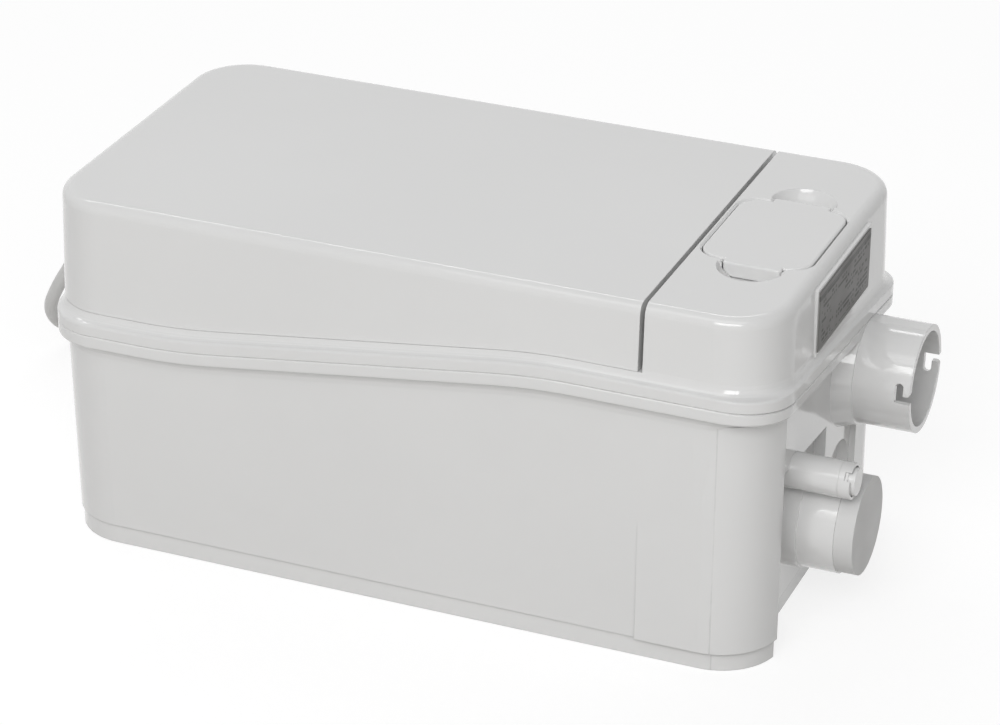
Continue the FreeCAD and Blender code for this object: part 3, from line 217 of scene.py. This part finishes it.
def tank_line_with_painted_shade(s, color):
    """A fine broken line down the front, near the right-hand corner: a shallow groove in the relief, and a
    darker tint along it that is painted shade of a small step.
    """
    shaded_line_x, front_y, lid_z = 126.4 * MM, -70.0 * MM, 103.5 * MM
    painted_shade_color, painted_shade_strength, line_depth = (0.30, 0.30, 0.30), 0.2, 0.1 * MM
    x, y, z = s.axes()
    on_front = s.math("LESS_THAN", y, front_y)
    below_lid = s.math("LESS_THAN", z, lid_z)
    away = s.math("ABSOLUTE", s.math("SUBTRACT", x, shaded_line_x))
    line = s.ramp(away, 0.10 * MM, 0.30 * MM, 1.0, 0.0)
    broken = s.ramp(s.noise(60.0, 3.0, 0.6, stretch=(0.2, 0.2, 1.0)), 0.35, 0.65, 0.25, 1.0)
    line = s.times(line, on_front, below_lid, broken)
    # The darker tint along the line is painted shade; the groove in the bump is relief.
    return s.mix(s.times(line, painted_shade_strength), color, painted_shade_color), [(line, -line_depth)]


def worn_plastic(name, rough, spread=0.07):
    """Plastic with an uneven gloss. Its colour and relief come from the caller."""
    s = Shader(name)
    worn = s.noise(60.0, 5.0, 0.6, offset=(3.1, 1.7, 0.4))
    s.set(Roughness=s.ramp(worn, 0.3, 0.7, rough - spread, rough + spread), IOR=1.5)
    return s


def plastic(name, color, rough, grain=0.02 * MM, grain_scale=900.0, shade=0.05, spread=0.07):
    """Moulded plastic in one colour. grain is the depth of its fine grain."""
    s = worn_plastic(name, rough, spread)
    s.set(Base_Color=s.patches(color, shade))
    s.bump((s.noise(grain_scale, 2.0), grain), (s.noise(45.0, 2.0), grain * 4))
    return s


def inlet_white(name):
    """The closed end of the inlet: satin, and a little darker than the shells."""
    s = plastic(name, dimmed(WHITE, 0.93), 0.42, 0.01 * MM, 700.0, shade=0.03)
    s.set(Specular_IOR_Level=0.18)
    return s


def rubber(name, color, grain=0.04 * MM):
    s = plastic(name, color, 0.62, grain, 1400.0, shade=0.18, spread=0.12)
    s.set(Sheen_Weight=0.12, Sheen_Roughness=0.4)
    return s


def carbon(name):
    """Black granules."""
    s = worn_plastic(name, 0.6)
    s.set(Base_Color=s.patches((0.018, 0.018, 0.02), 0.5))
    s.bump((s.cells(520.0), 1.2 * MM), (s.noise(1500.0), 0.1 * MM))
    return s


def board_green(name):
    """A green circuit board with raised traces and bare pads."""
    s = worn_plastic(name, 0.34)
    lanes = s.ramp(s.stripes(s.axes()[1], 3.2 * MM), 0.50, 0.58)
    breaks = s.ramp(s.noise(90.0, 1.0, stretch=(1.0, 0.2, 0.2)), 0.48, 0.52)
    traces = s.times(lanes, breaks)
    pads = s.ramp(s.cells(170.0, jitter=0.25), 0.16, 0.2, 1.0, 0.0)
    board = s.mix(traces, (0.012, 0.10, 0.045), (0.03, 0.22, 0.10))
    s.set(Base_Color=s.mix(pads, board, (0.62, 0.60, 0.52)))
    s.bump((traces, 0.06 * MM), (pads, 0.08 * MM), (s.noise(1200.0), 0.01 * MM))
    return s


def rating_label(name):
    """Printed film: rows of short dark blocks with empty places between them, and no words."""
    first_row_foot, row_height = 118.4 * MM, 1.95 * MM
    letter_width, letter_shift = 1.05 * MM, 0.23 * MM
    word_width, word_shift = 6.4 * MM, 1.9 * MM
    share_left_empty = 0.36
    s = Shader(name)
    _, y, z = s.axes()
    rows = s.math("DIVIDE", s.math("SUBTRACT", z, first_row_foot), row_height)
    row = s.math("FLOOR", rows)
    in_row = s.between(s.math("FRACT", rows), 0.22, 0.80)

    def filled(width, shift):
        """1 in the cells that hold print. Each row's cells start one shift further on than the last's."""
        cell = s.math("FLOOR", s.math("DIVIDE", s.math("MULTIPLY_ADD", row, shift, y), width))
        chance = s.add("ShaderNodeTexWhiteNoise")
        chance.noise_dimensions = "2D"
        s.link(s.add("ShaderNodeCombineXYZ", X=cell, Y=row).outputs[0], chance.inputs["Vector"])
        return s.math("GREATER_THAN", chance.outputs["Value"], share_left_empty)

    def area(left, right, foot, top):
        """1 inside a rectangle of the plate, given in millimetres."""
        return s.times(s.between(y, left * MM, right * MM), s.between(z, foot * MM, top * MM))

    printed = area(-28.4, 28.4, 119.6, 140.4)
    not_in_field = s.math("SUBTRACT", 1.0, area(-17.0, -1.0, 127.4, 134.6))
    letters, words = filled(letter_width, letter_shift), filled(word_width, word_shift)
    ink = s.times(letters, words, in_row, printed, not_in_field)
    band = s.between(z, 138.6 * MM, 140.6 * MM)
    ground = s.mix(s.noise(120.0, 3.0), (0.165, 0.162, 0.158), (0.205, 0.201, 0.196))
    ground = s.mix(s.times(band, 0.6), ground, (0.05, 0.05, 0.05))
    color = s.mix(s.times(ink, 0.85), ground, (0.035, 0.034, 0.033))
    s.set(Base_Color=color, Roughness=s.ramp(s.noise(70.0, 4.0), 0.3, 0.7, 0.42, 0.56), IOR=1.5,
          Specular_IOR_Level=0.22)
    s.bump((s.noise(1500.0, 2.0), 0.006 * MM), (s.noise(90.0, 2.0), 0.04 * MM))
    return s


# Metals

def worn_metal(name, rough):
    """Bare metal with an uneven gloss. Its colour and relief come from the caller."""
    s = Shader(name)
    worn = s.noise(120.0, 5.0, 0.65, offset=(1.0, 5.0, 2.0))
    s.set(Roughness=s.ramp(worn, 0.3, 0.7, rough - 0.09, rough + 0.12), Metallic=1.0)
    return s


def metal(name, color, rough, turned=None, cast=False):
    """Bare metal. turned is the period of fine tool marks along Z, cast gives a rough skin."""
    s = worn_metal(name, rough)
    s.set(Base_Color=s.patches(color, 0.14, 30.0))
    layers = [(s.noise(1100.0, 2.0), (0.115 if cast else 0.015) * MM)]
    if cast:
        layers.append((s.noise(330.0, 4.0, 0.7), 0.3 * MM))
    if turned:
        layers.append((s.stripes(s.axes()[2], turned), 0.04 * MM))
    s.bump(*layers)
    return s


def laminations(name):
    """Stacked steel sheets, with dark grooves between them and some rust."""
    s = worn_metal(name, 0.42)
    sheets = s.ramp(s.stripes(s.axes()[2], 1.0 * MM), 0.0, 0.22)
    rust = s.ramp(s.noise(38.0, 5.0, 0.6), 0.5, 0.75)
    steel = s.mix(s.times(rust, 0.5), (0.30, 0.30, 0.31), (0.23, 0.16, 0.11))
    s.set(Base_Color=s.mix(sheets, (0.05, 0.05, 0.05), steel), Metallic=0.8)
    s.bump((sheets, 0.3 * MM), (s.noise(500.0, 3.0), 0.04 * MM))
    return s


def windings(name):
    """Enamelled wire in slightly wavy rows, with painted shade darkening the sides of each wire."""
    s = worn_metal(name, 0.3)
    wavy = s.math("ADD", s.axes()[2], s.times(s.noise(60.0, 2.0), 3 * MM))
    wire = s.stripes(wavy, 0.9 * MM)
    # The dark copper towards the sides of each wire is painted shade between the wires; the bright copper
    # along the middle is the wire's own colour.
    s.set(Base_Color=s.mix(s.ramp(wire, 0.0, 0.6), (0.17, 0.05, 0.02), (0.72, 0.32, 0.15)), Coat_Weight=0.6)
    s.bump((wire, 0.5 * MM), (s.noise(400.0, 3.0), 0.08 * MM))
    return s


# The finish of each slot in the record, and of the three pieces that differ from their slot

shaders = {
    "white_plastic": shell_white("shell_white"),
    "grey_plastic": plastic("satin_grey_plastic", (0.44, 0.45, 0.46), 0.36),
    "dark_plastic": plastic("dark_plastic", (0.035, 0.036, 0.04), 0.42, shade=0.15),
    "plate": rating_label("rating_film"),
    "seal_rubber": rubber("seal_rubber", (0.028, 0.028, 0.03)),
    "steel": metal("machined_steel", (0.58, 0.585, 0.6), 0.26, turned=0.35 * MM),
    "laminations": laminations("stacked_laminations"),
    "copper": windings("enamelled_windings"),
    "zinc_screw": metal("zinc_plate", (0.66, 0.67, 0.70), 0.33),
    "aluminium": metal("cast_aluminium", (0.66, 0.67, 0.69), 0.38, cast=True),
    "board": board_green("board_green"),
    "brass": metal("turned_brass", (0.70, 0.52, 0.24), 0.25, turned=0.3 * MM),
    "hose": rubber("hose_rubber", (0.035, 0.035, 0.038), 0.08 * MM),
    "carbon": carbon("carbon_granules"),
    "cord_grey": plastic("cord_sheath", (0.68, 0.68, 0.675), 0.40, 0.03 * MM, 700.0),
    "plug_white": plastic("plug_plastic", (0.68, 0.68, 0.67), 0.38, 0.05 * MM, 1200.0),
}
finishes = {slot: shader.material for slot, shader in shaders.items()}
own_finishes = {
    "tank": shell_white("shell_white_tank", tank_line_with_painted_shade).material,
    "inlet_blank": inlet_white("satin_white").material,
    "drain_plug": finishes["white_plastic"],
}

for part in frame["record"]["subparts"]:
    materials = nodes[part["node"]].data.materials
    materials.clear()
    materials.append(own_finishes.get(part["node"], finishes[part["material_slot"]]))


# Objects and skins

def link_object(name, data):
    obj = bpy.data.objects.new(name, data)
    scene.collection.objects.link(obj)
    return obj


def rings_along(points, radii, sides=28):
    """Circles square to a line of points, without twist."""
    rings = []
    side = Vector((0, 0, 1))
    for k, (point, radius) in enumerate(zip(points, radii)):
        ahead = points[min(k + 1, len(points) - 1)] - points[max(k - 1, 0)]
        ahead.normalize()
        side = (side - ahead * side.dot(ahead)).normalized()
        other = ahead.cross(side)
        rings.append([point + (side * math.cos(a) + other * math.sin(a)) * radius
                      for a in (2 * math.pi * j / sides for j in range(sides))])
    return rings


def from_rings(name, rings):
    """A closed smooth skin through rings of points that all have the same count."""
    skin = bmesh.new()
    rows = [[skin.verts.new(point) for point in ring] for ring in rings]
    count = len(rows[0])
    for low, high in zip(rows, rows[1:]):
        for k in range(count):
            skin.faces.new((low[k], low[(k + 1) % count], high[(k + 1) % count], high[k]))
    skin.faces.new(reversed(rows[0]))
    skin.faces.new(rows[-1])
    bmesh.ops.recalc_face_normals(skin, faces=skin.faces[:])
    mesh = bpy.data.meshes.new(name)
    skin.to_mesh(mesh)
    skin.free()
    for polygon in mesh.polygons:
        polygon.use_smooth = True
    return link_object(name, mesh)


# The mains cord: out of the gland, down to the floor and into a flat coil behind the unit.
# Its route, its coil and the radii of its boot are in millimetres.

cord_diameter = 5.8 * MM
route = [
    (-160.2, 42, 112), (-172.4, 42, 112), (-186.4, 43.1, 105.7), (-195.4, 43.7, 93.4),
    (-197.3, 43.9, 76.4), (-203.3, 43.6, 58.2), (-214.2, 47.1, 42.3), (-224.7, 56.2, 24.6),
    (-226.4, 73.4, 8.3), (-219.6, 90.8, 3.9), (-203, 101, 3), (-163, 117, 3), (-119, 120, 3), (-76, 120, 3),
]
coil_start = (-70.2, 120, 3.0)
coil_outer = 38.0
coil_step = 6.3
coil_half_turns = 4
points_in_half_turn = 10
plug_lead = 11.6


def half_turn(place, radius, side, rise=0.0):
    """Half a circle, anticlockwise from above: backwards for side 1, forwards again for side -1."""
    x, y, z = place
    centre = y + side * radius
    points = []
    for k in range(1, points_in_half_turn + 1):
        share = k / points_in_half_turn
        angle = math.radians(-90.0 * side + 180.0 * share)
        points.append((x + radius * math.cos(angle), centre + radius * math.sin(angle),
                       z + rise * (3 * share ** 2 - 2 * share ** 3)))
    return points


def coil_points():
    """Inwards on the floor, up one layer, outwards again on top, and straight on to the plug."""
    points = [coil_start]
    radius = coil_outer
    side = 1
    for _ in range(coil_half_turns):
        points += half_turn(points[-1], radius, side)
        radius -= coil_step / 2
        side = -side
    points += half_turn(points[-1], radius, side, coil_step)
    side = -side
    for _ in range(coil_half_turns):
        radius += coil_step / 2
        points += half_turn(points[-1], radius, side)
        side = -side
    x, y, z = points[-1]
    points.append((x + side * plug_lead, y, z))
    return points


def nurbs(name, points):
    """A smooth line that starts and ends on its end points."""
    curve = bpy.data.curves.new(name, "CURVE")
    curve.dimensions = "3D"
    curve.resolution_u = 12
    spline = curve.splines.new("NURBS")
    spline.points.add(len(points) - 1)
    for point, place in zip(spline.points, points):
        point.co = (place[0] * MM, place[1] * MM, place[2] * MM, 1.0)
    spline.order_u = 3
    spline.use_endpoint_u = True
    return link_object(name, curve)


cord = nurbs("mains_cord", route + coil_points())
bpy.context.view_layer.update()
cord_line = [v.co.copy() for v in bpy.data.meshes.new_from_object(cord).vertices]
cord.data.bevel_depth = cord_diameter / 2
cord.data.bevel_resolution = 7
cord.data.use_fill_caps = True
cord.data.materials.append(finishes["cord_grey"])

boot_length = 26.0 * MM
boot_ring_step = 0.4 * MM
boot_radius_at_gland, boot_radius_at_cord = 5.9, 3.35
ribs_start, ribs_end, rib_count, rib_height = 0.08, 0.74, 6, 0.42
rib_steepness = 2.2


def boot_points():
    """The cord's first stretch, in small even steps."""
    points = [cord_line[0]]
    travelled = 0.0
    for before, after in zip(cord_line, cord_line[1:]):
        steps = max(1, int((after - before).length / boot_ring_step))
        for k in range(1, steps + 1):
            points.append(before.lerp(after, k / steps))
        travelled += (after - before).length
        if travelled > boot_length:
            break
    return points


def boot_radius(share):
    """Tapers from the gland nut to the cord, with ribs that end at three quarters of its length."""
    radius = boot_radius_at_gland + (boot_radius_at_cord - boot_radius_at_gland) * share
    if ribs_start < share < ribs_end:
        wave = math.sin((share - ribs_start) / (ribs_end - ribs_start) * rib_count * 2 * math.pi)
        radius += rib_height * max(-1.0, min(1.0, wave * rib_steepness)) * (1 - share)
    return radius * MM


trail = boot_points()
radii = [boot_radius(k / (len(trail) - 1)) for k in range(len(trail))]
boot = from_rings("strain_relief_boot", rings_along(trail, radii))
boot.data.materials.append(finishes["cord_grey"])

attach(cord, "housing")
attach(boot, "housing")
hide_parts("power_cord", "cord_coil")


# Stage: floor, light and camera

FLOOR_SIZE = 12.0
FLOOR_DROP = 0.2 * MM
FLOOR_BOUNCE = (0.60, 0.588, 0.57)
FLOOR_SEEN = (0.30, 0.30, 0.30)
FLOOR_SEEN_GLOW = 0.77
PLAIN_WHITE = (1.0, 1.0, 1.0)
UNIT_MIDDLE = (0, 0, 0.08)


def floor():
    """Throws slightly warm matte light up at the unit, and is almost white where it is seen."""
    grid = bmesh.new()
    bmesh.ops.create_grid(grid, x_segments=2, y_segments=2, size=FLOOR_SIZE)
    mesh = bpy.data.meshes.new("floor")
    grid.to_mesh(mesh)
    grid.free()
    material = bpy.data.materials.new("floor_white")
    tree = Tree(material)
    matte = tree.add("ShaderNodeBsdfDiffuse", Color=FLOOR_BOUNCE)
    shown = tree.add("ShaderNodeBsdfDiffuse", Color=FLOOR_SEEN)
    lift = tree.add("ShaderNodeEmission", Color=PLAIN_WHITE, Strength=FLOOR_SEEN_GLOW)
    both = tree.add("ShaderNodeAddShader")
    tree.link(shown.outputs[0], both.inputs[0])
    tree.link(lift.outputs[0], both.inputs[1])
    tree.end_by_ray(matte, both)
    obj = link_object("floor", mesh)
    obj.data.materials.append(material)
    obj.location.z = -FLOOR_DROP


def area_light(name, place, aim, size, power):
    light = bpy.data.lights.new(name, "AREA")
    light.shape = "RECTANGLE"
    light.size, light.size_y = size
    light.energy = power
    obj = link_object(name, light)
    obj.location = place
    obj.rotation_mode = "QUATERNION"
    obj.rotation_quaternion = (Vector(aim) - Vector(place)).to_track_quat("-Z", "Y")


def studio():
    """A white room: matte light from the front and from behind on the left, plain white where it is seen."""
    scene.world = bpy.data.worlds.new("studio")
    tree = Tree(scene.world, "ShaderNodeOutputWorld")
    from_front = tree.glow((0.24, -0.95, 0.2), 0.2, 0.80)
    from_behind = tree.glow((-0.5, 0.86, 0.0), 0.0, 1.2)
    strength = tree.math("ADD", from_front, from_behind)
    fill = tree.add("ShaderNodeBackground", Color=PLAIN_WHITE, Strength=strength)
    shown = tree.add("ShaderNodeBackground", Color=PLAIN_WHITE, Strength=1.0)
    tree.end_by_ray(fill, shown)
    area_light("key", (0.33, -1.60, 1.32), UNIT_MIDDLE, (1.4, 0.65), 15.8)
    area_light("over", (0.15, -1.0, 1.85), UNIT_MIDDLE, (1.8, 0.7), 4.3)
    area_light("edge", (-0.62, 0.80, 1.62), (0, 0, 0.1), (1.7, 0.15), 3.8)


def camera():
    """Looks at the unit from the front, somewhat from the right and from above, 1.5 m away."""
    turn, tilt, roll = math.radians(22.08), math.radians(26.77), math.radians(0.50)
    shift_right, shift_up, distance = 6.71, 62.88, 1500.94
    origin = Vector((3.17, 0, 0))
    focal_pixels, picture_pixels = 3720.13, 1000
    sensor_width = 36.0

    back = Vector((math.sin(turn) * math.cos(tilt), -math.cos(turn) * math.cos(tilt), math.sin(tilt)))
    ahead = -back
    level = ahead.cross(Vector((0, 0, 1))).normalized()
    up = level.cross(ahead)
    right = level * math.cos(roll) + up * math.sin(roll)
    over = -level * math.sin(roll) + up * math.cos(roll)
    data = bpy.data.cameras.new("camera")
    data.sensor_width = sensor_width
    data.lens = focal_pixels / picture_pixels * sensor_width
    data.clip_start, data.clip_end = 0.1, 50.0
    obj = link_object("camera", data)
    placement = Matrix((right, over, back)).transposed().to_4x4()
    placement.translation = (right * shift_right + over * shift_up + back * distance + origin) * MM
    obj.matrix_world = placement
    scene.camera = obj


floor()
studio()
camera()
scene.view_settings.view_transform = "Standard"
